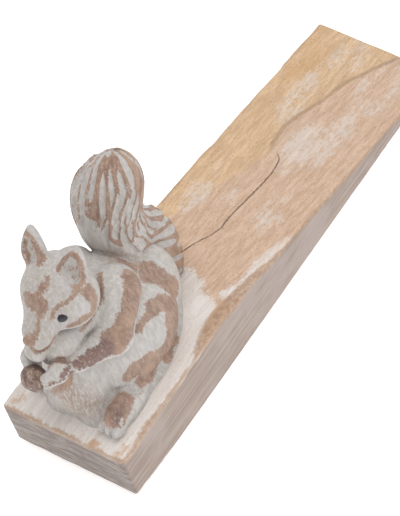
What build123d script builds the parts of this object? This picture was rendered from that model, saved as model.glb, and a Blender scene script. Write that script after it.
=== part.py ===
from build123d import *
import math
import os

# Door wedge: a sawn and sanded wooden wedge with a carved squirrel fixed on its thick end.
# Millimetres. +Z is up and the ground is z = 0. +Y points from the thick end to the thin tip.
# The origin is the middle of the flat sole that rests on the floor.
# Everything is drawn with y = 0 at the front face and moved to the origin when it is exported.

# ---- driving dimensions -------------------------------------------------------------------
WEDGE_WIDTH = 55.0
WEDGE_LENGTH = 210.0
FRONT_TOP = 25.5        # height of the top edge of the front face
FRONT_LIFT = 2.2        # the sanded front end lifts this far off the floor
SOLE_START = 28.5       # the flat sole begins here, measured from the front face
SEAT_LENGTH = 62.5      # the level seat ends here and the ramp begins
SEAT_HEIGHT = 28.0      # thickness of the board where the seat meets the ramp
TIP_THICKNESS = 1.5
EDGE_WEAR = 0.8         # rounding of the sanded edges

SOLE_MIDDLE = (SOLE_START + WEDGE_LENGTH) / 2

HEAD_X = -0.5           # the head is carved a little off the middle of the board
EYE_WIDTH = 2.2         # half sizes of the oval eye pegs
EYE_HEIGHT = 1.8
EYE_PEG = 5.0

SCREW_SPOTS = ((0.0, 31.0), (0.0, 55.0))
SCREW_LENGTH = 38.0
SCREW_HEAD_R = 3.9
SCREW_SHANK_R = 2.1
SCREW_CORE_R = 1.5
SCREW_RECESS = 4.0      # depth of the screw head below the sole
RECESS_R = 4.6

TAIL_SHOULDER = 99.5    # widest level of the tail, where its domed top begins
TAIL_TOP = 118.5
GOUGES = 14

NUT_R = 4.7             # the paws are cut this far either side of the nut's middle
DOWEL_R = 4.0
DOWEL_LENGTH = 26.0

# The tail is glued to the back of the body on one flat, leaning face.
JOINT_FOOT = (68.0, 28.0)     # y and z of the joint at the board
JOINT_TOP = (50.0, 92.0)      # y and z of the joint at the shoulders


def egg(centre, radii, tilt_x=0.0, tilt_y=0.0, tilt_z=0.0):
    """An ellipsoid, turned about X, then about Y, then about Z."""
    blob = scale(Sphere(1.0), by=radii)
    turn = Rot(0, 0, tilt_z) * Rot(0, tilt_y, 0) * Rot(tilt_x, 0, 0)
    return Pos(*centre) * turn * blob


def both_sides(centre, radii, tilt_x=0.0, tilt_y=0.0, tilt_z=0.0, middle=0.0):
    """The same ellipsoid on the right and, mirrored, on the left of the plane x = middle."""
    x, y, z = centre
    right = egg((middle + x, y, z), radii, tilt_x, tilt_y, tilt_z)
    left = egg((middle - x, y, z), radii, tilt_x, -tilt_y, -tilt_z)
    return [right, left]


def join(blobs):
    """Fuse a list of solids one after another."""
    whole = blobs[0]
    for blob in blobs[1:]:
        whole = whole + blob
    return whole


def only_solid(shape):
    """The largest solid of a shape."""
    return max(shape.solids(), key=lambda s: s.volume)


# ---- wedge --------------------------------------------------------------------------------
def side_profile():
    """Outline of the wedge seen from its side, in the YZ plane."""
    return Polyline(
        (0, FRONT_LIFT),
        (SOLE_START, 0),
        (WEDGE_LENGTH, 0),
        (WEDGE_LENGTH, TIP_THICKNESS),
        (SEAT_LENGTH, SEAT_HEIGHT),
        (0, FRONT_TOP),
        close=True,
    )


def make_board():
    outline = make_face(Plane.YZ * side_profile())
    board = extrude(outline, amount=WEDGE_WIDTH / 2, both=True)
    front = board.edges().filter_by_position(Axis.Y, -0.1, 0.1)
    board = fillet(front, EDGE_WEAR)
    return board


def under_board():
    """Everything below the top of the board, for cutting the figure's foot flat on it."""
    far = 400.0
    ramp = (SEAT_HEIGHT - TIP_THICKNESS) / (WEDGE_LENGTH - SEAT_LENGTH)
    seat = (SEAT_HEIGHT - FRONT_TOP) / SEAT_LENGTH
    outline = Polyline(
        (-50, FRONT_TOP - 50 * seat),
        (SEAT_LENGTH, SEAT_HEIGHT),
        (WEDGE_LENGTH, SEAT_HEIGHT - ramp * (WEDGE_LENGTH - SEAT_LENGTH)),
        (WEDGE_LENGTH, -far),
        (-50, -far),
        close=True,
    )
    return extrude(make_face(Plane.YZ * outline), amount=100, both=True)


# ---- screws -------------------------------------------------------------------------------
def wood_screw():
    """Countersunk wood screw, head down at z = 0, with a cross recess and a ridged thread."""
    points = [(0, 0), (SCREW_HEAD_R, 0), (SCREW_HEAD_R, 0.5)]
    points += [(SCREW_SHANK_R, 3.0), (SCREW_SHANK_R, 14.0)]
    teeth = 8
    pitch = 2.4
    z = 14.0
    for _ in range(teeth):
        points += [(SCREW_CORE_R, z + 0.3), (SCREW_CORE_R, z + 0.5 * pitch)]
        points += [(SCREW_SHANK_R, z + 0.8 * pitch)]
        z += pitch
    points += [(SCREW_CORE_R, z + 0.3), (0, SCREW_LENGTH)]
    outline = make_face(Plane.XZ * Polyline(*points, close=True))
    screw = revolve(outline, Axis.Z)
    for angle in (0, 90):
        screw -= Pos(0, 0, 0.9) * Rot(0, 0, angle) * Box(4.4, 0.9, 1.8)
    return screw


def screw_recess():
    """Counterbore that lets the screw head sit below the sole."""
    return Cylinder(RECESS_R, SCREW_RECESS + 1, align=(Align.CENTER, Align.CENTER, Align.MAX))


# ---- squirrel -----------------------------------------------------------------------------
def make_figure():
    """Head, trunk, arms and legs, carved from one block; the paws have flats for the nut."""
    trunk = [
        egg((0, 40, 51.5), (16, 18.5, 28), tilt_x=-8),
        egg((0, 21, 42), (13.5, 15, 25)),
        egg((0, 57, 42.5), (14.5, 18.5, 26)),
        egg((0.5, 30, 74), (12, 12, 13.5), tilt_x=-25),
        egg((0.5, 14.5, 70), (9.6, 9.5, 11)),
        egg((-1, 44, 68.5), (10, 9.5, 11)),
    ]
    legs = both_sides((7.6, 40.5, 43.5), (13.8, 24.2, 25.8), tilt_x=18)
    legs += both_sides((8.0, 36.0, 26.5), (12.5, 28, 12.5))
    feet = [
        egg((17.2, 20.2, 30.6), (5.3, 13.2, 7.4)),
        egg((-16.5, 25, 30.6), (5.3, 13.2, 7.4)),
    ]
    for side, front in ((17.2, 10.0), (-16.6, 14.6)):
        for toe in (-3.2, 0.0, 3.2):
            feet.append(egg((side + toe, front, 28.5), (1.8, 4.2, 3.4)))
    arms = both_sides((10, 36, 71), (9.5, 14, 13), tilt_x=-15)
    arms += both_sides((12.0, 19, 65.5), (6.4, 14, 6.6), tilt_z=-14)
    paws = both_sides((7.4, 4.8, 65.5), (4.4, 4.4, 5.4))
    grip = Pos(0, 0, 65) * Box(2 * NUT_R, 30, 30)
    arms += [paw - grip for paw in paws]
    head = [
        egg((HEAD_X, 25.2, 90.5), (12.6, 12.9, 12.1)),
        egg((HEAD_X, 20.6, 87.8), (10.1, 10.3, 10.1)),
        egg((HEAD_X, 13.4, 83.4), (7.7, 10.8, 7.6), tilt_x=30),
        egg((HEAD_X + 0.8, 10.2, 77.6), (4.8, 6.2, 4.8)),
        egg((HEAD_X - 0.5, 7.0, 74.4), (4.8, 4.4, 4.6)),
        egg((HEAD_X + 0.3, 4.2, 84), (2.3, 2.1, 2.1)),
    ]
    head += both_sides((7.2, 25.4, 84.4), (6.7, 10, 9), middle=HEAD_X)
    ears = both_sides((9.0, 29.2, 102.4), (5.6, 3.4, 10.2), tilt_x=-20, tilt_y=9, middle=HEAD_X)
    cups = both_sides((9.3, 26.0, 103.8), (3.6, 2.8, 6.2), tilt_x=-20, tilt_y=9, middle=HEAD_X)
    figure = join(trunk + legs + feet + arms + head + ears)
    for cup in cups:
        figure -= cup
    return figure


def make_tail():
    """Plume of the tail: oval sections up to a dome, with long gouge cuts near the top."""
    # height, middle x, middle y, half width, half depth
    sections = (
        (18.0, -7.5, 75.0, 9.2, 12.0),
        (40.0, -7.2, 73.6, 9.8, 12.8),
        (58.0, -6.2, 69.6, 10.4, 13.0),
        (77.0, -4.2, 63.6, 11.6, 12.4),
        (TAIL_SHOULDER, -2.4, 62.5, 13.0, 12.5),
    )
    ovals = [Pos(x, y, z) * Ellipse(half_x, half_y) for z, x, y, half_x, half_y in sections]
    stem = loft(ovals)
    upper_half = Pos(-2.4, 62.5, TAIL_SHOULDER) * Box(60, 60, 60, align=(Align.CENTER, Align.CENTER, Align.MIN))
    dome = egg((-2.4, 62.5, TAIL_SHOULDER), (13.0, 12.5, TAIL_TOP - TAIL_SHOULDER)) & upper_half
    tail = stem + dome
    for step in range(GOUGES):
        turn = 360 / GOUGES * step + 8
        x = -2.6 + 13.6 * math.cos(math.radians(turn))
        y = 62.4 + 13.1 * math.sin(math.radians(turn))
        z = 93.0 + 7.0 * (step % 2)
        tail -= egg((x, y, z), (1.5, 1.9, 14.0), tilt_z=turn)
    return tail


def joint_plane():
    """Plane of the glued joint, facing the tail."""
    run = JOINT_TOP[0] - JOINT_FOOT[0]
    rise = JOINT_TOP[1] - JOINT_FOOT[1]
    middle = (0, (JOINT_FOOT[0] + JOINT_TOP[0]) / 2, (JOINT_FOOT[1] + JOINT_TOP[1]) / 2)
    return Plane(origin=middle, x_dir=(1, 0, 0), z_dir=(0, rise, -run))


def behind_joint():
    return joint_plane() * Box(200, 300, 200, align=(Align.CENTER, Align.CENTER, Align.MIN))


def before_joint():
    return joint_plane() * Box(200, 300, 200, align=(Align.CENTER, Align.CENTER, Align.MAX))


def tail_pin():
    return joint_plane() * Pos(-4, 0, 0) * Cylinder(DOWEL_R, DOWEL_LENGTH)


def eye_peg(side):
    """Oval black peg with a domed end, let into a socket in the side of the head."""
    centre = Vector(HEAD_X + side * 8.3, 15.5, 89.1)
    outward = Vector(side * 0.86, -0.49, 0.12)
    plane = Plane(origin=centre, x_dir=(side * 0.45, 0.86, 0.25), z_dir=outward)
    peg = extrude(plane * Ellipse(EYE_WIDTH, EYE_HEIGHT), amount=EYE_PEG / 2, both=True)
    dome = plane * Pos(0, 0, -3.9) * Sphere(4.6)
    return peg & dome


def make_nut():
    """Small nut with a pointed lower end, turned about the upright axis."""
    outline = Spline((0, 5.4), (4.2, 3.0), (4.6, -1.0), (0, -6.2), tangents=((1, 0), (-1, -0.5)))
    half = make_face(Plane.XZ * (outline + Line((0, -6.2), (0, 5.4))))
    return Pos(0.0, 0.5, 63.5) * revolve(half, Axis.Z)


# ---- assembly -----------------------------------------------------------------------------
board = make_board()
ground = under_board()
nut = make_nut()
figure = make_figure() - ground
plume = make_tail() - ground

body = figure - behind_joint()
tail = plume - before_joint()

dowel = tail_pin()
eyes = {"eye_left": eye_peg(-1), "eye_right": eye_peg(1)}
screws = [Pos(x, y, SCREW_RECESS) * wood_screw() for x, y in SCREW_SPOTS]
recesses = [Pos(x, y, SCREW_RECESS) * screw_recess() for x, y in SCREW_SPOTS]

for screw, recess in zip(screws, recesses):
    board = board - screw - recess
    body = body - screw
body = body - dowel - eyes["eye_left"] - eyes["eye_right"]
tail = tail - dowel

nodes = {
    "wedge_base": only_solid(board),
    "squirrel_body": only_solid(body),
    "squirrel_tail": only_solid(tail),
    "tail_dowel": only_solid(dowel),
    "nut": only_solid(nut),
    "eye_left": only_solid(eyes["eye_left"]),
    "eye_right": only_solid(eyes["eye_right"]),
    "figure_screws": Compound(children=[only_solid(s) for s in screws]),
}

os.makedirs("parts", exist_ok=True)
for name, shape in nodes.items():
    placed = Pos(0, -SOLE_MIDDLE, 0) * shape
    export_step(placed, "parts/" + name + ".step")
    box = placed.bounding_box()
    print(name, round(placed.volume, 1), len(placed.solids()), box.min, box.max)
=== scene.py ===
import bmesh
import functools
import bpy
import math
import numpy as np
from mathutils import Matrix, Vector


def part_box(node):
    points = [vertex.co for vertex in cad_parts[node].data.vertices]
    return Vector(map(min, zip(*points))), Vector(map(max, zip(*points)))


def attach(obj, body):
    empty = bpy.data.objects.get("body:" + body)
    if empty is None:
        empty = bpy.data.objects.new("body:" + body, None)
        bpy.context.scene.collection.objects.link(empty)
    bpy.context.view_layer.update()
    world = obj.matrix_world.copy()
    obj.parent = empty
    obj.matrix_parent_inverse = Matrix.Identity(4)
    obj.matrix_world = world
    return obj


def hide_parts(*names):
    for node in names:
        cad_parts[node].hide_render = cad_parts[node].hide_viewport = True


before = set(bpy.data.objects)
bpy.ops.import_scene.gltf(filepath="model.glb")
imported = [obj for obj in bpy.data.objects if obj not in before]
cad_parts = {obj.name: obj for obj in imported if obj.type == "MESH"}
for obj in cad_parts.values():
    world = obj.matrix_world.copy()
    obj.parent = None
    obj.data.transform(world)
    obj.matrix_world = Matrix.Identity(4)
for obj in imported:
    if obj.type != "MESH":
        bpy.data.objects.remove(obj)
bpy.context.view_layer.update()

# Shapes are worked out in millimetres with y = 0 at the front face of the board, x = 0 on its
# middle line and z = 0 on the floor, then moved into the row's frame in metres.
MM = 0.001
board_low, board_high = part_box("wedge_base")
FRONT = board_low.y / MM
WIDTH = (board_high.x - board_low.x) / MM
LENGTH = (board_high.y - board_low.y) / MM
SEAT_HEIGHT = board_high.z / MM
SEAT_LENGTH = 62.5      # where the seat ends and the ramp begins
FRONT_TOP = 25.5        # height of the top edge of the front face
FRONT_LIFT = 2.2        # how far the front end is off the floor
SOLE_START = 28.5       # where the flat sole begins
TIP = 1.5               # thickness of the thin end
FIGURE_STEP = 0.55
BOARD_STEP = 1.0


def to_row(points):
    """Millimetres from the front face to metres in the row frame."""
    moved = np.array(points, float)
    moved[:, 1] += FRONT
    return moved * MM


# ---- distance fields ------------------------------------------------------------------------
def turn(ax, ay=0.0, az=0.0):
    """Matrix of a turn about X, then Y, then Z, in degrees."""
    ax, ay, az = np.radians([ax, ay, az])
    cx, sx, cy, sy, cz, sz = np.cos(ax), np.sin(ax), np.cos(ay), np.sin(ay), np.cos(az), np.sin(az)
    about_x = np.array([[1, 0, 0], [0, cx, -sx], [0, sx, cx]])
    about_y = np.array([[cy, 0, sy], [0, 1, 0], [-sy, 0, cy]])
    about_z = np.array([[cz, -sz, 0], [sz, cz, 0], [0, 0, 1]])
    return about_z @ about_y @ about_x


def egg(p, centre, radii, tilt=(0, 0, 0), axes=None):
    """Distance to an ellipsoid, negative inside."""
    q = (p - np.asarray(centre, float)) @ (turn(*tilt) if axes is None else axes)
    r = np.asarray(radii, float)
    k0 = np.sqrt(((q / r) ** 2).sum(-1))
    k1 = np.sqrt(((q / (r * r)) ** 2).sum(-1))
    return k0 * (k0 - 1) / np.maximum(k1, 1e-9)


def rod(p, a, b, ra, rb):
    """Distance to a tapering rod with round ends."""
    a, b = np.asarray(a, float), np.asarray(b, float)
    d = b - a
    t = np.clip(((p - a) @ d) / (d @ d), 0, 1)
    return np.sqrt(((p - a - t[:, None] * d) ** 2).sum(-1)) - (ra + (rb - ra) * t)


def blend(a, b, k):
    """Smooth union of two fields over a seam of width k."""
    h = np.clip(0.5 + 0.5 * (b - a) / k, 0, 1)
    return b + (a - b) * h - k * h * (1 - h)


def seam(a, b, k, depth, width=1.1):
    """Smooth union with a carved line where the two surfaces meet."""
    return blend(a, b, k) + depth * np.exp(-((a - b) / width) ** 2)


def cut(a, b, k):
    """Takes field b out of field a, with a softened edge."""
    return -blend(-a, b, k)


def both(p, middle=0.0):
    """Folds the left half onto the right, about the plane x = middle."""
    q = p.copy()
    q[:, 0] = np.abs(q[:, 0] - middle)
    return q


def hash_grid(i, j, k, seed):
    """A repeatable number between -1 and 1 for each whole place."""
    n = (i * 73856093) ^ (j * 19349663) ^ (k * 83492791) ^ (seed * 2654435761)
    n = (n ^ (n >> 13)) * 1274126177 & 0x7FFFFFFF
    return ((n ^ (n >> 16)) & 0xFFFF) / 32767.5 - 1


def noise(p, size, seed=0):
    """Smooth value noise between -1 and 1."""
    q = p / size
    base = np.floor(q).astype(np.int64)
    f = q - base
    f = f * f * (3 - 2 * f)
    total = 0
    for dx in (0, 1):
        for dy in (0, 1):
            for dz in (0, 1):
                w = (f[:, 0] if dx else 1 - f[:, 0]) * (f[:, 1] if dy else 1 - f[:, 1])
                w = w * (f[:, 2] if dz else 1 - f[:, 2])
                total = total + w * hash_grid(base[:, 0] + dx, base[:, 1] + dy, base[:, 2] + dz, seed)
    return total


# ---- the squirrel ---------------------------------------------------------------------------
HEAD_X = -0.5           # middle of the head
ARM_X = 0.8             # middle between the arms
SUNK = 0.6              # how far the figure reaches into the board
FLARE = 2.2             # height over which its foot spreads on the board


def trunk_field(p):
    """Belly, back, rump, shoulders and chest."""
    m = both(p)
    d = egg(p, (0, 40, 51), (16, 18.5, 27.5), (-8, 0, 0))
    d = blend(d, egg(p, (0, 21, 42), (13.5, 15, 25)), 8)
    d = blend(d, egg(p, (0, 57, 42), (14.5, 18, 25)), 8)
    d = blend(d, egg(m, (8, 35, 27), (12.5, 27, 12)), 5)
    d = blend(d, egg(p, (0.5, 30, 73), (12, 11.5, 12.5), (-25, 0, 0)), 6)
    d = blend(d, egg(p, (0.5, 15, 70), (9.8, 9.5, 10.5)), 5)
    d = blend(d, egg(p, (-1, 44, 68.5), (10, 9, 11)), 4)
    return d


def head_field(p):
    """Skull, muzzle, cheeks, jaw, chin, eye sockets and nose."""
    h = both(p, HEAD_X)
    d = egg(p, (HEAD_X, 25.2, 90.5), (12.5, 12.8, 12))
    d = blend(d, rod(p, (HEAD_X, 21, 88), (-0.9, 10.6, 81.8), 10.0, 6.2), 4)
    d = blend(d, egg(h, (7.3, 25.6, 84.2), (6.7, 10, 9)), 4)
    d = blend(d, egg(p, (0.3, 10, 77.5), (4.6, 6.2, 4.6)), 3)
    d = blend(d, egg(p, (-1.2, 6.4, 73.6), (4.8, 4.2, 4.6)), 2)
    d = cut(d, egg(h, (9.6, 13.0, 93.0), (2.6, 3.4, 2.2), (0, 0, 35)), 2.5)
    d = blend(d, egg(p, (-0.2, 4.2, 84.0), (2.3, 2.0, 2.0)), 0.6)
    return d


def ear_parts(p):
    """Distances to both ears before hollowing, and to the hollows."""
    q = (both(p, HEAD_X) - np.array([9.1, 29, 103.4])) @ turn(-20, 9, 0)
    taper = np.clip(1 - 0.055 * q[:, 2], 0.4, 1.6)
    q[:, 0] /= taper
    return egg(q, (-0.3, 0, 0), (5.5, 3.2, 9.9)), egg(q, (0, -3.3, 0.2), (3.7, 3.0, 6.4))


def ear_field(p):
    """Both ears, hollowed in front."""
    ear, hollow = ear_parts(p)
    return cut(ear, hollow, 0.6)


def arm_field(p):
    """Upper arms, forearms and hands with three fingers each."""
    m = both(p, ARM_X)
    d = rod(m, (8.6, 40, 72.5), (12.8, 28.5, 62.5), 10.2, 7.6)
    d = blend(d, rod(m, (12.8, 28.5, 62.5), (8.7, 13, 65.5), 7.0, 4.8), 3)
    d = blend(d, egg(m, (6.2, 6.0, 66.5), (4.0, 4.4, 4.8)), 2)
    for drop in (2.6, 0.0, -2.6):
        d = blend(d, rod(m, (7.0, 4.6, 66.3 + drop), (3.4, 0.2, 65.0 + 0.9 * drop), 1.9, 1.4), 0.5)
    return d


def foot_field(p):
    """Hind feet with three toes each, the far one set back."""
    d = egg(p, (17.2, 20.5, 31), (5.2, 13, 7))
    for toe in (14.2, 17.2, 20.4):
        d = blend(d, egg(p, (toe, 10.0, 29.5), (1.8, 4, 3)), 1)
    other = egg(p, (-16.5, 25, 31), (5.2, 13, 7))
    for toe in (-13.8, -16.8, -19.8):
        other = blend(other, egg(p, (toe, 14.4, 29.5), (1.8, 4, 3)), 1)
    return np.minimum(d, other)


def haunch_field(p):
    """Round thighs of the hind legs."""
    return egg(both(p), (7.6, 40.5, 43.5), (13.8, 24, 25.5), (18, 0, 0))


def tail_core(p):
    """The tail before it is gouged."""
    d = egg(p, (-5.8, 74, 41), (10.6, 12.7, 23.8))
    d = blend(d, egg(p, (-6.5, 69, 56), (10, 12.5, 20), (8, 0, 0)), 6)
    d = blend(d, egg(p, (-4, 61, 79), (12, 12, 22), (8, 0, 0)), 6)
    d = blend(d, egg(p, (-2.4, 62.5, 96.5), (13, 12.5, 15.5), (-6, 0, 0)), 6)
    d = blend(d, egg(p, (0.8, 66, 104.4), (10.3, 10.5, 12.3)), 4)
    return d


def tail_axis(z):
    """Middle of the tail at a height."""
    heights = (30, 56, 79, 99.5, 120)
    across = np.interp(z, heights, (-7.5, -6.5, -4, -2.4, -2.2))
    back = np.interp(z, heights, (74, 69, 61, 62.5, 64))
    return across, back


def on_surface(field, start, direction, longest=40.0):
    """The point where a ray leaves a field, and the outward normal there."""
    start, direction = np.asarray(start, float), np.asarray(direction, float)
    steps = np.linspace(0, longest, 400)
    values = field(start + steps[:, None] * direction)
    outside = np.nonzero(values > 0)[0]
    point = start + steps[outside[0]] * direction
    offsets = np.eye(3) * 0.3
    normal = field(point + offsets) - field(point - offsets)
    return point, normal / np.linalg.norm(normal)


def surface_axes(normal, along):
    """Axes at a place on a surface: across, outward, and along it."""
    along = along - (along @ normal) * normal
    along /= np.linalg.norm(along)
    return np.stack([np.cross(along, normal), normal, along], -1)


# Rows of gouges along the tail: height along it, half length, half width, how many go round, depth,
# the first and last angle (0 near side, 90 back, 180 far side, 270 front), and how far they slant.
GOUGE_ROWS = (
    (112.5, 4.5, 1.3, 11, 1.1, 0, 360, 0.0),
    (106.5, 5.4, 1.3, 19, 1.2, 0, 360, 0.1),
    (99.5, 6.0, 1.35, 26, 1.2, 0, 360, 0.05),
    (93.5, 5.4, 1.35, 25, 1.2, 0, 360, 0.0),
    (87.0, 6.8, 1.5, 24, 1.2, -62, 242, 0.0),
    (78.5, 7.5, 1.6, 19, 1.2, -30, 200, 0.0),
    (68.5, 8.5, 1.8, 15, 1.2, 40, 200, -0.2),
    (60.0, 9.5, 2.3, 12, 1.4, -50, 190, -0.75),
    (44.0, 10.5, 2.5, 11, 1.4, -30, 190, -0.75),
    (32.0, 5.0, 2.4, 10, 1.0, 20, 185, -0.75),
)
# The gouges run together at a pole high on the back of the tail's dome. Above EASE_START the tail's
# middle line bends back towards the pole, by EASE_BACK in all.
POLE = (0.8, 75.1, 110.5)
POLE_HEIGHT = 118.0
EASE_START = 88.0
EASE_HEIGHT = 22.0
EASE_BACK = 9.1


def tail_place(p):
    """Angle round the tail, distance from its middle, and height along it up to the pole."""
    ax, ay = tail_axis(p[:, 2])
    ease = np.clip((p[:, 2] - EASE_START) / EASE_HEIGHT, 0, 1)
    dx, dy = p[:, 0] - ax, p[:, 1] - ay - EASE_BACK * ease * ease * (3 - 2 * ease)
    along = POLE_HEIGHT - np.sqrt(((p - POLE) ** 2).sum(-1))
    return np.arctan2(dy, dx), np.hypot(dx, dy), along


def plan_gouges():
    """Angle, middle, half length, half width, depth, slant and tone of every gouge."""
    rng = np.random.default_rng(7)
    found = []
    for row, (height, length, width, columns, deep, first, last, slant) in enumerate(GOUGE_ROWS):
        for column in range(columns):
            degrees = (column + 0.5 * (row % 2)) * 360 / columns + rng.uniform(-3, 3)
            middle = height + rng.uniform(-2.2, 2.2)
            long, wide = length * rng.uniform(0.75, 1.2), width * rng.uniform(0.75, 1.2)
            tone = rng.random()
            if first <= degrees <= last or first <= degrees - 360 <= last:
                found.append((math.radians(degrees), middle, long, wide, deep, slant, tone))
    return found


gouges = plan_gouges()


def gouge_depth(p):
    """How deep the tail's gouges are at each point, and how brown the gouge there is."""
    angle, out, along = tail_place(p)
    depth, tone = np.zeros(len(p)), np.zeros(len(p))
    for centre, middle, long, wide, deep, slant, own_tone in gouges:
        dv = along - middle
        du = (np.mod(angle - centre + np.pi, 2 * np.pi) - np.pi) * np.maximum(out, 4.0) - slant * dv
        own = deep * np.clip(1 - (dv / long) ** 2 - np.abs(du / wide) ** 1.5, 0, 1) ** 0.8
        tone = np.where(own > depth, own_tone, tone)
        depth = np.maximum(depth, own)
    return depth, tone


def above_board(p):
    """Distance above the top of the board."""
    y, z = p[:, 1], p[:, 2]
    seat = (z - FRONT_TOP) - y * (SEAT_HEIGHT - FRONT_TOP) / SEAT_LENGTH
    fall = (SEAT_HEIGHT - TIP) / (LENGTH - SEAT_LENGTH)
    ramp = (z - SEAT_HEIGHT) + (y - SEAT_LENGTH) * fall
    return np.maximum(seat, ramp)


def stroke(p, points, radius):
    """Distance to a thick line through some points."""
    d = np.full(len(p), 1e3)
    for start, end in zip(points[:-1], points[1:]):
        d = np.minimum(d, rod(p, start, end, radius, radius))
    return d


def knife_marks(p):
    """The small unevenness that carving and sanding leave."""
    return 0.14 * noise(p, 7.0, 1) + 0.03 * noise(p, 2.6, 2)


# carved lines: the mouth, and the front hem of the thigh
MOUTH = ((-0.6, 3.4, 80.6), (2.2, 4.0, 78.0), (4.6, 7.4, 78.4), (6.2, 12.0, 80.2))
HAUNCH_HEM = ((14.6, 19.8, 43.5), (17.8, 20.6, 38.8), (20.6, 23.5, 35.2), (21.6, 29.5, 32.2))


def figure_field(p):
    """The whole squirrel, cut off just under the top of the board."""
    head = blend(head_field(p), ear_field(p), 2.0)
    d = seam(trunk_field(p), head, 1.0, 0.7)
    d = seam(d, arm_field(p), 0.8, 0.5)
    d = seam(d, haunch_field(p), 0.6, 0.5)
    d = blend(d, foot_field(p), 1.2)
    d = cut(d, stroke(p, MOUTH, 0.55), 0.5)
    d = cut(d, stroke(p, HAUNCH_HEM, 0.9), 1.0)
    tail = tail_core(p)
    near = np.abs(tail) < 4
    tail[near] += gouge_depth(p[near])[0]
    d = seam(d, tail, 1.6, 0.5, 1.5) + knife_marks(p)
    flare = np.clip(FLARE - above_board(p), 0, FLARE)
    d = d - 0.18 * flare * flare
    return np.maximum(d, -SUNK - above_board(p))


# ---- surfaces from fields -----------------------------------------------------------------------
COARSE = 4              # grid cells along the side of a coarse block
CHUNK = 200000          # places worked out at a time
CORNERS = [(a, b, c) for a in (0, 1) for b in (0, 1) for c in (0, 1)]


def sample(field, low, high, step):
    """The field on a grid, worked out only in the coarse blocks near its surface."""
    count = np.ceil((np.asarray(high, float) - low) / step).astype(int) + 1
    blocks = -(-count // COARSE) + 1
    places = np.meshgrid(*[np.arange(n) for n in blocks], indexing="ij")
    rough = field(low + np.stack(places, -1).reshape(-1, 3) * step * COARSE).reshape(blocks)
    half = COARSE // 2

    def spread_out(values):
        for axis in range(3):
            values = np.repeat(values, COARSE, axis)
        return np.roll(values, (-half, -half, -half), (0, 1, 2))

    value = np.where(spread_out(rough) < 0, -1.0, 1.0) * 9
    close = np.argwhere(spread_out(np.abs(rough) < step * COARSE * 1.9))
    for start in range(0, len(close), CHUNK):
        part = close[start:start + CHUNK]
        value[part[:, 0], part[:, 1], part[:, 2]] = field(low + part * step)
    return value


def crossing_points(value, low, step):
    """One point in each cell that the surface crosses, and the number of each cell's point."""
    nx, ny, nz = (n - 1 for n in value.shape)
    total = sum((value < 0)[a:a + nx, b:b + ny, c:c + nz].astype(np.int8) for a, b, c in CORNERS)
    mixed = (total > 0) & (total < 8)
    cells = np.argwhere(mixed)
    index = np.full(mixed.shape, -1, np.int64)
    index[mixed] = np.arange(len(cells))
    sums = np.zeros((len(cells), 3))
    hits = np.zeros(len(cells))
    for a in CORNERS:
        for axis in range(3):
            if a[axis]:
                continue
            b = list(a)
            b[axis] = 1
            fa = value[cells[:, 0] + a[0], cells[:, 1] + a[1], cells[:, 2] + a[2]]
            fb = value[cells[:, 0] + b[0], cells[:, 1] + b[1], cells[:, 2] + b[2]]
            crossed = (fa < 0) != (fb < 0)
            t = np.where(crossed, fa / np.where(crossed, fa - fb, 1), 0)
            spot = np.tile(np.array(a, float), (len(cells), 1))
            spot[:, axis] = t
            sums += spot * crossed[:, None]
            hits += crossed
    return low + (cells + sums / hits[:, None]) * step, index


def join_cells(inside, index):
    """A quad round each grid edge that the surface crosses, turned to face outward."""
    quads = []
    for axis in range(3):
        u, v = (axis + 1) % 3, (axis + 2) % 3
        first = [slice(1, -1)] * 3
        first[axis] = slice(0, -1)
        second = list(first)
        second[axis] = slice(1, None)
        change = inside[tuple(first)] != inside[tuple(second)]
        at = np.argwhere(change) + np.array([0 if k == axis else 1 for k in range(3)])
        at = at[(at < np.array(index.shape)).all(-1)]
        ring = []
        for du, dv in ((-1, -1), (0, -1), (0, 0), (-1, 0)):
            c = at.copy()
            c[:, u] += du
            c[:, v] += dv
            ring.append(index[c[:, 0], c[:, 1], c[:, 2]])
        ring = np.stack(ring, -1)
        out = inside[at[:, 0], at[:, 1], at[:, 2]]
        ring[~out] = ring[~out][:, ::-1]
        quads.append(ring)
    quads = np.concatenate(quads)
    return quads[(quads >= 0).all(-1)]


def settle(field, verts):
    """Moves points along the field's slope until they lie on its surface."""
    reach_out = 0.15
    for _ in range(2):
        value = field(verts)
        steps = np.eye(3) * reach_out
        grad = np.stack([field(verts + e) - field(verts - e) for e in steps], -1) / (2 * reach_out)
        size = np.maximum((grad ** 2).sum(-1), 0.25)
        verts = verts - np.clip(value / size, -0.3, 0.3)[:, None] * grad
    return verts


def polygonise(field, low, high, step):
    """Surface nets over the zero level of a field; returns vertices and quads."""
    low = np.asarray(low, float)
    value = sample(field, low, high, step)
    verts, index = crossing_points(value, low, step)
    return settle(field, verts), join_cells(value < 0, index)


def make_mesh(name, verts, faces, material, slot_name, *nodes):
    """A smooth-shaded piece in the row frame that stands for some CAD nodes."""
    mesh = bpy.data.meshes.new(name)
    mesh.from_pydata(to_row(verts).tolist(), [], [list(map(int, face)) for face in faces])
    mesh.polygons.foreach_set("use_smooth", np.ones(len(mesh.polygons), bool))
    mesh.materials.append(material)
    obj = bpy.data.objects.new(name, mesh)
    bpy.context.scene.collection.objects.link(obj)
    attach(obj, "root")
    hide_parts(*nodes)
    return obj


def store(mesh, name, values):
    """Keeps one number per vertex for the material to read."""
    layer = mesh.attributes.new(name, "FLOAT", "POINT")
    layer.data.foreach_set("value", np.asarray(values, np.float32))


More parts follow.
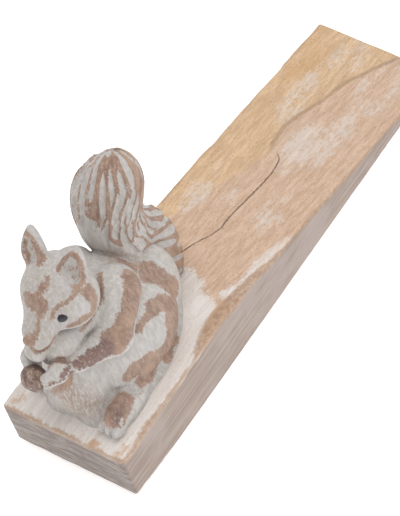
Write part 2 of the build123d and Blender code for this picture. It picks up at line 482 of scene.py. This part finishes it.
def split(obj, point, normal, keep_above):
    """Cuts a piece along a plane, keeps one side and closes the cut."""
    bm = bmesh.new()
    bm.from_mesh(obj.data)
    result = bmesh.ops.bisect_plane(bm, geom=bm.verts[:] + bm.edges[:] + bm.faces[:], dist=1e-7,
                                    plane_co=point, plane_no=normal,
                                    clear_inner=keep_above, clear_outer=not keep_above)
    rim = [e for e in result["geom_cut"] if isinstance(e, bmesh.types.BMEdge)]
    cap = bmesh.ops.edgenet_fill(bm, edges=rim)["faces"]
    bmesh.ops.recalc_face_normals(bm, faces=bm.faces[:])
    for edge in rim:
        if edge.is_valid:
            edge.smooth = False
    for face in cap:
        face.smooth = False
    bm.to_mesh(obj.data)
    bm.free()


# ---- where the paint is rubbed through --------------------------------------------------------
SHADE_REACH = 1.4       # how far off the surface hollows and ridges are felt
RIDGE_START = 33.0      # above this height sharp ridges are rubbed bare
BROWN_GOUGE = 0.88      # gouges with a higher tone than this are brown all over
NOSE = (0.1, 3.8, 84.5)
NOSE_BARE = 2.6
MOUTH_BARE = 1.3
# Bare patches: middle plane they are mirrored about (None where there is one only), radius, line.
BARE = (
    (None, 3.7, ((-2.5, 13.4, 95.6), (-0.2, 13.3, 95.9), (1.2, 13.3, 96))),
    (None, 1.6, ((0.5, 15, 98), (1.5, 19, 101))),
    (None, 0.9, ((1.5, 21.8, 102), (1.8, 21, 101.5))),
    (None, 1.2, ((1.8, 12.5, 94), (2.1, 11.9, 92.9), (1.8, 9.2, 88.5))),
    (None, 0.9, ((1.8, 9.2, 88.5), (1.4, 5.8, 85.2), (0.8, 4.1, 82))),
    (None, 1.3, ((5.7, 12.8, 90.7), (7.3, 16.2, 93.7), (10, 20.7, 95.7), (11.6, 25.3, 96.8))),
    (None, 2.4, ((9.5, 16.5, 84.5), (11.5, 20, 84.2), (13, 25, 83), (13, 28, 87), (12.5, 28.5, 93))),
    (None, 2.0, ((11.8, 26, 94.5), (12.3, 27, 90))),
    (HEAD_X, 1.2, ((7, 39, 82.5), (10.5, 35, 81.5), (11, 30, 78), (10, 23.5, 75.5), (7, 18, 73.5))),
    (None, 1.2, ((-11.5, 29.5, 109.5), (-12.5, 27.5, 102.5), (-11, 25, 99))),
    (None, 1.7, ((-7.5, 27.5, 105.5), (-5, 27, 104), (-4.5, 26, 102))),
    (0, 5.4, ((17, 44.6, 77.2), (19, 39.1, 74), (19.6, 34.6, 70.6), (19.4, 29.9, 68), (18.5, 24.7, 66.8))),
    (0, 3.6, ((18.5, 24.7, 66.6), (16.8, 20.1, 65.8), (15, 15.6, 66.4))),
    (0, 2.4, ((15, 15.6, 67), (12.4, 11.5, 67.5))),
    (0, 1.3, ((12.1, 10.1, 68.4), (10.5, 4.6, 68.4))),
    (0, 1.5, ((9.4, 8.6, 69.3), (7.1, 6.8, 70.9), (3.2, 4.9, 68.2))),
    (0, 1.2, ((6.5, 1, 65), (9.5, 3.5, 66.5), (10.5, 8, 65.5))),
    (0, 4.3, ((10, 56.5, 63), (12, 59, 57), (13.3, 61, 51), (14, 62, 44))),
    (0, 3.5, ((17.9, 45.2, 58.6), (18, 50.4, 55), (18, 55.8, 47.9))),
    (0, 2.0, ((17.7, 46.2, 59), (18.9, 41.2, 58.4), (19.1, 36.9, 58))),
    (0, 4.6, ((17, 58, 46), (18, 55, 40), (19.4, 49, 35.5), (20.5, 42, 35.5))),
    (0, 3.4, ((17, 57, 36), (18.5, 51, 31), (19.5, 44, 31))),
    (0, 4.4, ((19, 51.5, 46), (20, 48.5, 40), (20.8, 44, 36))),
    (0, 4.8, ((20.5, 42, 37), (20.5, 36, 39.5), (20, 31.5, 41.5))),
    (0, 3.9, ((20.5, 33, 43), (19, 27, 43.6), (18.6, 25.6, 42.4))),
    (0, 3.4, ((20.4, 38, 34.5), (19.9, 32, 33.6), (19.6, 28.5, 35.5))),
    (0, 4.6, ((19.2, 17, 37.2), (19, 13, 35.4), (18.6, 11, 34))),
    (None, 2.2, ((9, 10, 60), (7, 9, 57), (5, 8, 53), (2.5, 7, 50))),
    (None, 1.7, ((2.5, 7, 50), (-1, 6.4, 47.5), (-3, 6.4, 44), (-6, 7.5, 38))),
    (None, 2.0, ((6, 51, 74), (8.5, 53, 68))),
)
# Strokes of paint left between the toes, laid out like the bare patches.
KEPT = (
    (0, 0.7, ((17.2, 8, 31.5), (18.6, 11.6, 34))),
    (0, 0.7, ((20.8, 8.2, 30), (21.3, 12, 33))),
    (0, 0.6, ((22.4, 12, 29), (22.6, 15, 31.5))),
)
# Places where the paint is thin: start, end, radius, how thin.
THIN = (
    ((3, 6.5, 46), (6, 8, 38), 11.0, 1.0),
    ((4, 50, 76), (9, 54, 68), 6.0, 0.8),
    ((3, 16, 72), (6, 12, 70), 5.0, 0.8),
    ((-0.5, 16, 97), (-0.5, 12, 86), 14.0, 0.4),
)
# Wood stained darker, on the hands and forearms and on the feet: line, radius.
STAINED = (
    (((3, 2, 60), (9.5, 6, 66), (13, 13, 67), (16.5, 20, 66.4)), 3.0),
    (((19.5, 13, 35), (19.5, 11, 33)), 0.2),
)


def ear_rim(p):
    """How far inside the rubbed rims of the ears a point lies."""
    ear, hollow = ear_parts(p)
    rim = 1.5 - 1.3 * np.abs(hollow - 1.2)
    return np.where((ear < 1.0) & (p[:, 2] > 97), rim, -3.0)


def bare_field(p):
    """How far inside a bare patch a point lies, in millimetres; negative where paint stays."""
    q = p + 0.9 * np.stack([noise(p, 4.0, seed) for seed in (11, 12, 13)], -1)
    found = np.full(len(p), -6.0)
    for middle, radius, points in BARE:
        r = q if middle is None else both(q, middle)
        found = np.maximum(found, -stroke(r, points, radius))
    found = np.maximum(found, ear_rim(p + 0.3 * (q - p)))
    for middle, radius, points in KEPT:
        found = np.minimum(found, stroke(both(p, middle), points, radius))
    found = np.maximum(found, MOUTH_BARE - np.abs(stroke(p, MOUTH, 0.0)))
    return np.maximum(found, NOSE_BARE - np.sqrt(((p - NOSE) ** 2).sum(-1)))


def outward(field, p):
    """Outward direction of a field's surface at each point."""
    slope = np.stack([field(p + e) - field(p - e) for e in np.eye(3) * 0.2], -1)
    return slope / np.maximum(np.linalg.norm(slope, axis=1), 1e-6)[:, None]


def tail_wear(verts, bare):
    """Adds the tail's bare wood: brown lands between its gouges, fewer on the far side."""
    depth, tone = gouge_depth(verts)
    on_tail = np.abs(tail_core(verts) + depth + knife_marks(verts)) < 0.35
    x, y = verts[:, 0], verts[:, 1]
    along = tail_place(verts)[2]
    # the gouges begin higher up on the tail's front than on its sides
    hem = 90.5 - 9.5 * np.clip((x - 2) / 3, 0, 1) - 4.5 * np.clip((-3 - x) / 3, 0, 1)
    gouged = on_tail & ((along > hem + 1.5 * noise(verts, 5.0, 6)) | (y > 62))
    land = 1.3 - 6.0 * np.clip(depth - 0.12, 0, 0.6) + 0.8 * noise(verts, 9.0, 5)
    land = np.where((tone > BROWN_GOUGE) & (depth > 0.1), 1.2, land)
    far_side = np.clip((-1 - x) / 6, 0, 1)
    return np.where(gouged, np.maximum(bare, land - 1.3 * far_side), bare)


def figure_shading(verts):
    """What the painted wood's material needs at each vertex, by name."""
    normal = outward(figure_field, verts)
    # how far down in a crease each point lies; the paint material darkens it there as painted shade
    hollow = 1 - figure_field(verts + SHADE_REACH * normal) / SHADE_REACH
    ridge = 1 + figure_field(verts - SHADE_REACH * normal) / SHADE_REACH
    bare = tail_wear(verts, bare_field(verts))
    bare = np.where(verts[:, 2] > RIDGE_START, np.maximum(bare, 2.2 * ridge - 1.15), bare)
    thin = np.zeros(len(verts))
    for start, end, radius, strength in THIN:
        thin = np.maximum(thin, strength * np.clip(1.2 - rod(verts, start, end, 0, 0) / radius, 0, 1))
    stain = np.zeros(len(verts))
    for points, radius in STAINED:
        stain = np.maximum(stain, np.clip(1.1 - stroke(both(verts), points, radius) / 3, 0, 1))
    return {"bare": bare, "hollow": np.clip(hollow, 0, 1.5), "thin": thin, "stain": stain}


# ---- materials ------------------------------------------------------------------------------
def srgb(red, green, blue):
    """A colour as seen on screen, as the shader wants it."""
    values = [c / 255 for c in (red, green, blue)]
    return tuple(c / 12.92 if c < 0.04045 else ((c + 0.055) / 1.055) ** 2.4 for c in values) + (1.0,)


class Graph:
    """Builds one material's nodes."""

    def __init__(self, name):
        self.material = bpy.data.materials.new(name)
        self.material.use_nodes = True
        self.tree = self.material.node_tree
        self.surface = self.tree.nodes["Principled BSDF"]
        self.place = self.add("ShaderNodeTexCoord").outputs["Object"]

    def add(self, kind, inputs=(), **settings):
        node = self.tree.nodes.new(kind)
        for key, value in settings.items():
            setattr(node, key, value)
        for key, value in dict(inputs).items():
            self.put(node.inputs[key], value)
        return node

    def put(self, socket, value):
        if isinstance(value, bpy.types.NodeSocket):
            self.tree.links.new(value, socket)
        else:
            socket.default_value = value

    def math(self, operation, a, b=0.0):
        return self.add("ShaderNodeMath", {0: a, 1: b}, operation=operation).outputs[0]

    def mix(self, factor, a, b):
        return self.add("ShaderNodeMix", {0: factor, 6: a, 7: b}, data_type="RGBA").outputs[2]

    def grain(self, size, detail=4.0, rough=0.55, distort=0.0, place=None):
        """Noise from 0 to 1 with features of the given size in millimetres along x, y and z."""
        scale = [1000 / s for s in size]
        spot = self.add("ShaderNodeMapping", {"Vector": place or self.place, "Scale": scale}).outputs[0]
        inputs = {"Vector": spot, "Scale": 1.0, "Detail": detail, "Roughness": rough, "Distortion": distort}
        return self.add("ShaderNodeTexNoise", inputs).outputs["Fac"]

    def stored(self, name):
        """A number kept at each vertex."""
        return self.add("ShaderNodeAttribute", attribute_name=name).outputs["Fac"]

    def spread(self, value, amount):
        """A value from 0 to 1, moved to lie about zero and scaled."""
        return self.math("MULTIPLY", self.math("SUBTRACT", value, 0.5), amount)

    def add_up(self, first, *others):
        """The sum of some values."""
        for other in others:
            first = self.math("ADD", first, other)
        return first

    def step(self, value, low, high, bottom=0.0, top=1.0):
        """A soft step from bottom to top as the value goes from low to high."""
        inputs = {"Value": value, "From Min": low, "From Max": high, "To Min": bottom, "To Max": top}
        return self.add("ShaderNodeMapRange", inputs, interpolation_type="SMOOTHSTEP").outputs[0]

    def finish(self, colour, roughness, height, millimetres):
        """Joins colour, roughness and a bump of some millimetres to the surface."""
        bump = self.add("ShaderNodeBump", {"Height": height, "Distance": millimetres * MM, "Strength": 1.0})
        self.put(self.surface.inputs["Base Color"], colour)
        self.put(self.surface.inputs["Roughness"], roughness)
        self.put(self.surface.inputs["Normal"], bump.outputs[0])
        return self.material


def bare_brown(g, fine, streak, broad):
    """Colour of the carved wood, darker where it is stained."""
    wood = g.mix(g.step(streak, 0.35, 0.68), srgb(146, 118, 102), srgb(176, 147, 129))
    wood = g.mix(g.step(broad, 0.48, 0.7), wood, srgb(180, 149, 127))
    wood = g.mix(g.step(fine, 0.56, 0.72, 0, 0.5), wood, srgb(118, 94, 80))
    stain = g.math("MULTIPLY", g.stored("stain"), g.step(fine, 0.3, 0.6, 0.45, 0.9))
    return g.mix(stain, wood, srgb(122, 96, 92))


def thin_white(g, fine, streak, broad, speck):
    """Colour of the paint, with wood showing where it is thin and painted shade in the hollows."""
    paint = g.mix(g.step(streak, 0.3, 0.72), srgb(187, 182, 176), srgb(212, 207, 203))
    paint = g.mix(g.step(broad, 0.45, 0.72, 0, 0.55), paint, srgb(196, 194, 196))
    see_through = g.math("MULTIPLY", g.step(fine, 0.36, 0.56), g.stored("thin"))
    see_through = g.add_up(see_through, g.step(fine, 0.48, 0.62, 0, 0.12))
    paint = g.mix(see_through, paint, srgb(168, 148, 134))
    # painted shade: the white paint is darkened to grey-brown in creases and hollows, where shade falls
    hollow = g.math("MULTIPLY", g.stored("hollow"), g.step(speck, 0.38, 0.62, 0.25, 0.75))
    return g.mix(g.step(hollow, 0.22, 0.7, 0, 0.75), paint, srgb(150, 138, 130))


def painted_wood():
    """Brown carved wood under thin white paint, rubbed through in patches."""
    g = Graph("painted_wood")
    fine = g.grain((0.9, 0.9, 2.6), 5, 0.65)
    streak = g.grain((1.6, 1.6, 7.0), 4, 0.6, 0.4)
    broad = g.grain((9, 9, 12), 3, 0.5)
    speck = g.grain((0.55, 0.55, 0.8), 3, 0.7)
    ragged = g.math("ADD", g.spread(streak, 3.4), g.spread(fine, 3.4))
    bare = g.step(g.math("ADD", g.stored("bare"), ragged), -0.3, 0.5)
    chips = g.step(speck, 0.665, 0.69, 0, 0.7)
    bare = g.math("MAXIMUM", bare, chips)
    leftover = g.step(g.grain((0.8, 0.8, 1.6), 4, 0.7), 0.58, 0.66, 0, 0.6)
    bare = g.math("MULTIPLY", bare, g.math("SUBTRACT", 1.0, leftover))
    colour = g.mix(bare, thin_white(g, fine, streak, broad, speck), bare_brown(g, fine, streak, broad))
    height = g.math("SUBTRACT", g.math("MULTIPLY", fine, 0.5), g.math("MULTIPLY", bare, 0.5))
    return g.finish(colour, g.step(bare, 0, 1, 0.62, 0.5), height, 0.06)


# the two lines on the ramp: name, half width, colour, and how strong they are
GRAIN_LINES = (
    ("crack", 0.32, srgb(92, 74, 62), 0.9),
    ("vein", 1.0, srgb(160, 134, 112), 0.6),
)


def board_top(g, lines, blotch, pores, fleck):
    """Colour of the top: honey and pinker wood, white paint, brown edges, crack and grain line."""
    honey = g.mix(g.step(lines, 0.36, 0.66), srgb(212, 178, 142), srgb(234, 200, 162))
    honey = g.mix(g.step(blotch, 0.5, 0.72, 0, 0.75), honey, srgb(216, 174, 126))
    pink = g.mix(g.step(lines, 0.36, 0.66), srgb(208, 174, 147), srgb(228, 197, 172))
    pink = g.mix(g.step(blotch, 0.45, 0.7, 0, 0.6), pink, srgb(218, 190, 166))
    border = g.add_up(g.stored("tone_line"), g.spread(fleck, 4.0))
    top = g.mix(g.step(border, -0.8, 1.2), honey, pink)
    top = g.mix(g.step(pores, 0.54, 0.68, 0, 0.7), top, srgb(172, 130, 98))
    top = g.mix(g.step(fleck, 0.55, 0.7, 0, 0.35), top, srgb(192, 150, 118))
    paint = g.add_up(g.stored("paint"), g.spread(fleck, 10.0), g.spread(blotch, 11.0))
    paint = g.math("MULTIPLY", g.step(paint, -1.2, 1.4), g.step(pores, 0.5, 0.66, 0.98, 0.7))
    white = g.mix(g.step(lines, 0.35, 0.7), srgb(228, 221, 215), srgb(243, 239, 235))
    top = g.mix(g.math("MULTIPLY", paint, g.stored("cover")), top, white)
    edge = g.add_up(g.stored("edge_wear"), g.spread(fleck, 5.0), g.spread(blotch, 7.0))
    brown = g.mix(g.step(fleck, 0.4, 0.6), srgb(172, 138, 112), srgb(200, 168, 140))
    top = g.mix(g.step(edge, -0.6, 0.8, 0, 0.85), top, brown)
    for name, width, tint, share in GRAIN_LINES:
        wander = g.add_up(g.stored(name), g.spread(fleck, 1.2))
        line = g.step(g.math("ABSOLUTE", wander), width * 0.4, width * 1.5, share, 0.0)
        line = g.math("MULTIPLY", line, g.step(g.stored(name + "_reach"), 0, 4))
        top = g.mix(g.math("MULTIPLY", line, g.step(pores, 0.3, 0.55, 0.6, 1.0)), top, tint)
    return top


def board_sides(g, lines, blotch, pores):
    """Colour of the sawn sides, and of the end grain on the front face: the wood's own grey-brown, made
    darker still as painted shade, most on the front face.
    """
    # the sides' colour is their own grey-brown plus painted shade that keeps them darker than the top
    taupe = g.mix(g.step(lines, 0.36, 0.66), srgb(158, 140, 130), srgb(180, 163, 152))
    taupe = g.mix(g.step(blotch, 0.42, 0.66, 0, 0.6), taupe, srgb(186, 173, 166))
    taupe = g.mix(g.step(pores, 0.6, 0.72, 0, 0.4), taupe, srgb(150, 128, 116))
    rings = g.grain((14, 8, 2.2), 4, 0.6, 1.2)
    # the front face's end grain is darkened further as painted shade
    end = g.mix(g.step(rings, 0.4, 0.62), srgb(134, 121, 114), srgb(170, 158, 151))
    slant = g.grain((16, 8, 1.2), 2, 0.5, 2.0)
    thin_line = g.math("ABSOLUTE", g.math("SUBTRACT", slant, 0.5))
    end = g.mix(g.step(thin_line, 0.004, 0.03, 0.65, 0), end, srgb(118, 106, 100))
    return g.mix(g.stored("end_grain"), taupe, end)


def board_wood():
    """Sanded honey wood with a dark crack, pale rubbed patches and grey-brown sides, whose colour also
    holds painted shade.
    """
    g = Graph("board_wood")
    lines = g.grain((1.5, 34, 1.5), 5, 0.6, 0.3)
    blotch = g.grain((16, 26, 16), 4, 0.55)
    pores = g.grain((0.45, 1.5, 0.45), 3, 0.75)
    fleck = g.grain((1.3, 2.4, 1.3), 5, 0.7)
    top = board_top(g, lines, blotch, pores, fleck)
    colour = g.mix(g.stored("side"), top, board_sides(g, lines, blotch, pores))
    height = g.math("ADD", g.math("MULTIPLY", lines, 0.5), g.math("MULTIPLY", pores, -0.4))
    return g.finish(colour, 0.62, height, 0.16)


def nut_skin():
    """Dark brown nut, rubbed pale in places."""
    g = Graph("nut_skin")
    lumps = g.grain((2.4, 2.4, 3.4), 4, 0.6)
    fine = g.grain((0.7, 0.7, 1.2), 4, 0.65)
    skin = g.mix(g.step(lumps, 0.38, 0.62), srgb(112, 90, 82), srgb(154, 126, 110))
    skin = g.mix(g.step(fine, 0.54, 0.66, 0, 0.6), skin, srgb(104, 82, 78))
    worn = g.step(g.math("ADD", fine, g.math("MULTIPLY", lumps, 0.6)), 0.88, 0.95, 0, 0.7)
    return g.finish(g.mix(worn, skin, srgb(206, 196, 188)), 0.5, fine, 0.2)


def eye_black():
    """Blue-black, a little shiny."""
    g = Graph("eye_black")
    fine = g.grain((0.5, 0.5, 0.5), 3, 0.6)
    colour = g.mix(g.step(fine, 0.4, 0.62), srgb(30, 28, 37), srgb(54, 52, 62))
    return g.finish(colour, 0.32, fine, 0.03)


def peg_wood():
    """Plain pale wood for the hidden peg."""
    g = Graph("peg_wood")
    lines = g.grain((0.6, 6, 6), 4, 0.6)
    colour = g.mix(g.step(lines, 0.35, 0.65), srgb(196, 162, 124), srgb(224, 194, 156))
    return g.finish(colour, 0.6, lines, 0.05)


def screw_steel():
    """Zinc-plated steel, brushed along the screw."""
    g = Graph("screw_steel")
    brushed = g.grain((0.4, 0.4, 2.5), 3, 0.6)
    g.surface.inputs["Metallic"].default_value = 1.0
    colour = g.mix(brushed, srgb(150, 150, 148), srgb(196, 196, 192))
    return g.finish(colour, 0.38, brushed, 0.02)


# ---- the figure's pieces ----------------------------------------------------------------------
# y and z of the glued joint between body and tail, at the board and at the shoulders
JOINT_FOOT = (68.0, 28.0)
JOINT_TOP = (50.0, 92.0)
FIGURE_LOW = (-26, -2, 23)
FIGURE_HIGH = (27, 92, 124)
# name, CAD node, and whether the piece is behind the joint
HALVES = (
    ("squirrel_front", "squirrel_body", False),
    ("squirrel_plume", "squirrel_tail", True),
)


def make_figure():
    """Body and tail, carved as one shape and parted at the glued joint."""
    verts, quads = polygonise(figure_field, FIGURE_LOW, FIGURE_HIGH, FIGURE_STEP)
    shading = figure_shading(verts)
    material = painted_wood()
    point = to_row([(0, JOINT_FOOT[0], JOINT_FOOT[1])])[0]
    normal = Vector((0, JOINT_TOP[1] - JOINT_FOOT[1], JOINT_FOOT[0] - JOINT_TOP[0])).normalized()
    for name, node, keep_above in HALVES:
        piece = make_mesh(name, verts, quads, material, "carved_wood", node)
        for layer, values in shading.items():
            store(piece.data, layer, values)
        split(piece, point, normal, keep_above)


def nut_field(p):
    """The nut, a little rough."""
    d = egg(p, (-1, 0.2, 64), (5.0, 4.8, 6.0), (12, 0, 0))
    return d + 0.35 * noise(p, 3.0, 21) + 0.15 * noise(p, 1.3, 22)


NUT_LOW = (-9, -8, 55)
NUT_HIGH = (7, 8, 73)
NUT_STEP = 0.45
HEAD_MIDDLE = (HEAD_X, 20.0, 88.0)
EYE_SUNK = 0.8          # how far an eye's middle lies under the skin
EYE_RADII = (1.95, 1.2, 2.3)
EYE_LENGTHWISE = (0.63, 0.75, 0.19)     # which way the near eye's long axis points
EYE_ROOM = 4.0
EYE_STEP = 0.35
# which way each eye lies from the middle of the head
EYES = (
    ("near_eye", "eye_right", (9.1, -4.9, 1.2)),
    ("far_eye", "eye_left", (-9.1, -0.6, -1.2)),
)


def eye_field(p, centre, normal, along):
    """An oval bead, flat against the skin."""
    return egg(p, centre, EYE_RADII, axes=surface_axes(normal, along))


def make_small_pieces():
    """The nut and both eyes."""
    verts, quads = polygonise(nut_field, NUT_LOW, NUT_HIGH, NUT_STEP)
    make_mesh("held_nut", verts, quads, nut_skin(), "nut_wood", "nut")
    material = eye_black()
    for name, node, way in EYES:
        centre, normal = on_surface(figure_field, HEAD_MIDDLE, np.array(way) / np.linalg.norm(way))
        along = np.array(EYE_LENGTHWISE) * (np.sign(way[0]), 1, 1)
        centre = centre - EYE_SUNK * normal
        shape = functools.partial(eye_field, centre=centre, normal=normal, along=along)
        verts, quads = polygonise(shape, centre - EYE_ROOM, centre + EYE_ROOM, EYE_STEP)
        make_mesh(name, verts, quads, material, "eye_black", node)


# ---- the board --------------------------------------------------------------------------------
HALF = WIDTH / 2
EDGE_ROUND = 1.1        # rounding of the worn edges, and how much it varies
EDGE_VARIES = 0.5
CHIP_REACH = 2.2        # how far from an edge it is chipped, and how deep
CHIP_DEPTH = 0.35
INSIDE = 0.1            # keeps the dented surface inside the board's real size
BOARD_LOW = (-30, -3, -2)
BOARD_HIGH = (30, 213, 31)
# lines on the top, as distance along the board and distance across it: the crack, the dark grain
# line that goes on from it, and the line between the honey side and the pinker side
CRACK = (
    (60, -9), (86, -5), (92, -3.5), (99, -0.2), (104, 1),
    (110, 0.5), (131, 1.8), (137, 1.6), (143, 0.3), (146, -3.3),
)
VEIN = (
    (145, -6), (150, -7), (158, -8), (166, -6.2), (175, -3),
    (188, -0.6), (195, 3), (202, 6.5), (210, 11),
)
TONE = (
    (60, -27), (90, -22), (113, -15.6), (128, -10), (145, -5.6),
    (158, -8), (175, -3), (195, 3), (210, 10),
)
# pale rubbed places on the top: middle across, middle along, half width, half length
PALE = (
    (24, 92, 6, 16),
    (-5, 112, 5, 13),
    (-12, 171, 6, 16),
    (-6, 200, 8, 12),
    (9, 160, 9, 22),
    (16, 124, 8, 22),
    (4, 150, 6, 16),
    (12, 190, 8, 18),
    (-18, 120, 5, 20),
)
# how far back the white paint round the figure reaches, by distance from the middle
PAINT_END = ((0, 79), (8.6, 79.6), (16.6, 77), (21.5, 72), (22.5, 64), (27.5, 55))
# a trail of paint along the near edge of the ramp: across and along
DRIP = ((20.7, 78), (25.5, 85), (24.2, 97), (26, 111))
DRIP_RADIUS = 3.0
# how wide the brown strip along the long edges is, by distance along the board
EDGE_WEAR = ((0, 0.3), (46, 0.5), (56, 3.2), (64, 4.6), (80, 5.0), (100, 1.0), (140, 0.4))
# brown places worn through the paint on the seat: start, end, radius
RUBBED = (
    ((12.6, 1.2), (14.4, 2.6), 1.1),
    ((24, 2.5), (25, 6), 1.5),
    ((-24, 4), (-22, 6), 1.4),
    ((24, 60), (25, 66), 1.0),
    ((-24, 50), (-24, 60), 3.0),
)


def board_field(p):
    """The sawn board with soft, chipped edges and small dents."""
    x, y, z = p[:, 0], p[:, 1], p[:, 2]
    soft = EDGE_ROUND + EDGE_VARIES * noise(p, 14.0, 31)
    lift = FRONT_LIFT * (1 - y / SOLE_START)
    bottom = np.maximum(-z, lift - z)
    d = -blend(-above_board(p) * 0.99, -(np.abs(x) - HALF), soft)
    d = -blend(-d, y, soft)
    d = -blend(-d, -bottom, 0.6)
    d = -blend(-d, LENGTH - y, 0.5)
    chips = np.clip(CHIP_REACH - np.abs(above_board(p)) - np.abs(np.abs(x) - HALF), 0, 2)
    d = d + CHIP_DEPTH * chips * np.clip(noise(p, 6.0, 33), 0, 1)
    dents = 0.10 * noise(p * np.array([1, 0.35, 1]), 5.0, 32) + 0.05 * noise(p, 2.2, 34)
    return d + dents + INSIDE


def line_distance(p, line):
    """How far across the board a point lies from a line on its top."""
    along, across = zip(*line)
    return p[:, 0] - np.interp(p[:, 1], along, across)


def reach(p, line):
    """Positive between the two ends of a line, in millimetres."""
    return np.minimum(p[:, 1] - line[0][0], line[-1][0] - p[:, 1]) + 1


def board_paint(verts):
    """How far inside the white paint each point of the board's top lies, in millimetres."""
    x, y = verts[:, 0], verts[:, 1]
    plan = verts * (1, 1, 0)
    paint = np.interp(np.abs(x), *zip(*PAINT_END)) - y
    paint = np.clip(np.minimum(0.6 * paint, 6.0), -8, 6.0)
    trail = [(across, along, 0) for across, along in DRIP]
    paint = np.maximum(paint, -stroke(plan, trail, DRIP_RADIUS))
    for cx, cy, rx, ry in PALE:
        ratio = np.sqrt(((x - cx) / rx) ** 2 + ((y - cy) / ry) ** 2)
        paint = np.maximum(paint, np.clip((1 - ratio) * 5, -6, 1.2) - 1.6)
    for start, end, radius in RUBBED:
        worn = rod(plan, start + (0,), end + (0,), radius, radius)
        paint = np.minimum(paint, worn * 1.5)
    return paint


def edge_strip(verts, down):
    """How far inside the brown strips at the long edges and the front edge each point lies."""
    x, y = verts[:, 0], verts[:, 1]
    below = np.maximum(down, 0)
    inset = HALF - np.abs(x) - below
    strip = np.minimum(np.interp(y, *zip(*EDGE_WEAR)) - inset, inset + 3.2)
    front = np.minimum(0.9 - y + below, y - below + 2.2)
    return np.clip(np.maximum(strip, front), -6, 2)


def make_board():
    """The board, with what its material needs stored at each vertex."""
    verts, quads = polygonise(board_field, BOARD_LOW, BOARD_HIGH, BOARD_STEP)
    board = make_mesh("worn_board", verts, quads, board_wood(), "board_wood", "wedge_base")
    mesh = board.data
    y = verts[:, 1]
    down = -above_board(verts)
    # the top's colours reach this far down over the edges
    lip = np.interp(y, (0, 4, 60, 90), (1.0, 2.2, 2.2, 0.8))
    side = np.clip((down - lip + 0.8 * noise(verts, 5.0, 41)) / 0.8, 0, 1)
    store(mesh, "side", side)
    store(mesh, "end_grain", np.clip((1.2 - y) / 1.0, 0, 1))
    store(mesh, "paint", board_paint(verts))
    store(mesh, "cover", np.interp(y, (82, 112), (0.97, 0.5)))
    store(mesh, "edge_wear", edge_strip(verts, down))
    store(mesh, "tone_line", line_distance(verts, TONE))
    for name, line in (("crack", CRACK), ("vein", VEIN)):
        store(mesh, name, line_distance(verts, line))
        store(mesh, name + "_reach", reach(verts, line))


def finish_hidden_parts():
    """The screws and the peg keep their CAD shape and get their materials."""
    for name, material in (("figure_screws", screw_steel()), ("tail_dowel", peg_wood())):
        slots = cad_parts[name].data.materials
        for index in range(len(slots)):
            slots[index] = material


make_figure()
make_small_pieces()
make_board()
finish_hidden_parts()


# ---- light, floor and camera ------------------------------------------------------------------
CAMERA_AZIMUTH = 51.28      # degrees from the front, towards the near side
CAMERA_ELEVATION = 54.43
CAMERA_ROLL = -21.2
CAMERA_SPOT = (0.722758, -0.489558 + FRONT * MM, 1.313743)
CAMERA_LENS = 297.8
KEY_SPOT = (0.12, 0.05, 0.98)
KEY_TARGET = (0, -0.05, 0.05)
KEY_SIZE = 0.7
KEY_POWER = 3.4
SKY = 0.63
FLOOR_GLOW = 0.5            # lifts the floor to the plain white backdrop
FLOOR_REACH = 3.0


def camera():
    """A long lens, high on the near front corner and rolled, so that the board runs up the picture."""
    azimuth = math.radians(CAMERA_AZIMUTH)
    elevation = math.radians(CAMERA_ELEVATION)
    roll = math.radians(CAMERA_ROLL)
    back = Vector((math.sin(azimuth) * math.cos(elevation), -math.cos(azimuth) * math.cos(elevation),
                   math.sin(elevation)))
    right = Vector((math.cos(azimuth), math.sin(azimuth), 0))
    up = back.cross(right)
    turned_right = math.cos(roll) * right + math.sin(roll) * up
    turned_up = -math.sin(roll) * right + math.cos(roll) * up
    data = bpy.data.cameras.new("camera")
    data.sensor_width = 36.0
    data.lens = CAMERA_LENS
    data.clip_start = 0.05
    data.clip_end = 10
    obj = bpy.data.objects.new("camera", data)
    bpy.context.scene.collection.objects.link(obj)
    axes = Matrix((turned_right, turned_up, back)).transposed().to_4x4()
    obj.matrix_world = Matrix.Translation(CAMERA_SPOT) @ axes
    bpy.context.scene.camera = obj


def area_light(name, spot, target, size, power):
    """A round lamp that faces a target."""
    data = bpy.data.lights.new(name, "AREA")
    data.shape = "DISK"
    data.size = size
    data.energy = power
    obj = bpy.data.objects.new(name, data)
    bpy.context.scene.collection.objects.link(obj)
    obj.location = spot
    obj.rotation_euler = (Vector(target) - Vector(spot)).to_track_quat("-Z", "Y").to_euler()


def make_floor():
    """A wide, pale, plain floor."""
    far = FLOOR_REACH
    mesh = bpy.data.meshes.new("floor")
    mesh.from_pydata([(-far, -far, 0), (far, -far, 0), (far, far, 0), (-far, far, 0)], [], [(0, 1, 2, 3)])
    floor = bpy.data.objects.new("floor", mesh)
    bpy.context.scene.collection.objects.link(floor)
    g = Graph("floor")
    soft = g.grain((40, 40, 40), 2, 0.5)
    g.surface.inputs["Emission Color"].default_value = (1, 1, 1, 1)
    g.surface.inputs["Emission Strength"].default_value = FLOOR_GLOW
    colour = g.mix(soft, (0.93, 0.93, 0.93, 1), (0.95, 0.95, 0.95, 1))
    mesh.materials.append(g.finish(colour, 0.9, soft, 0.01))


def studio():
    """One large soft lamp above, a bright even sky and the floor."""
    area_light("key", KEY_SPOT, KEY_TARGET, KEY_SIZE, KEY_POWER)
    world = bpy.data.worlds.new("studio")
    world.use_nodes = True
    world.node_tree.nodes["Background"].inputs["Color"].default_value = (1, 1, 1, 1)
    world.node_tree.nodes["Background"].inputs["Strength"].default_value = SKY
    bpy.context.scene.world = world
    bpy.context.scene.view_settings.view_transform = "Standard"
    make_floor()


camera()
studio()
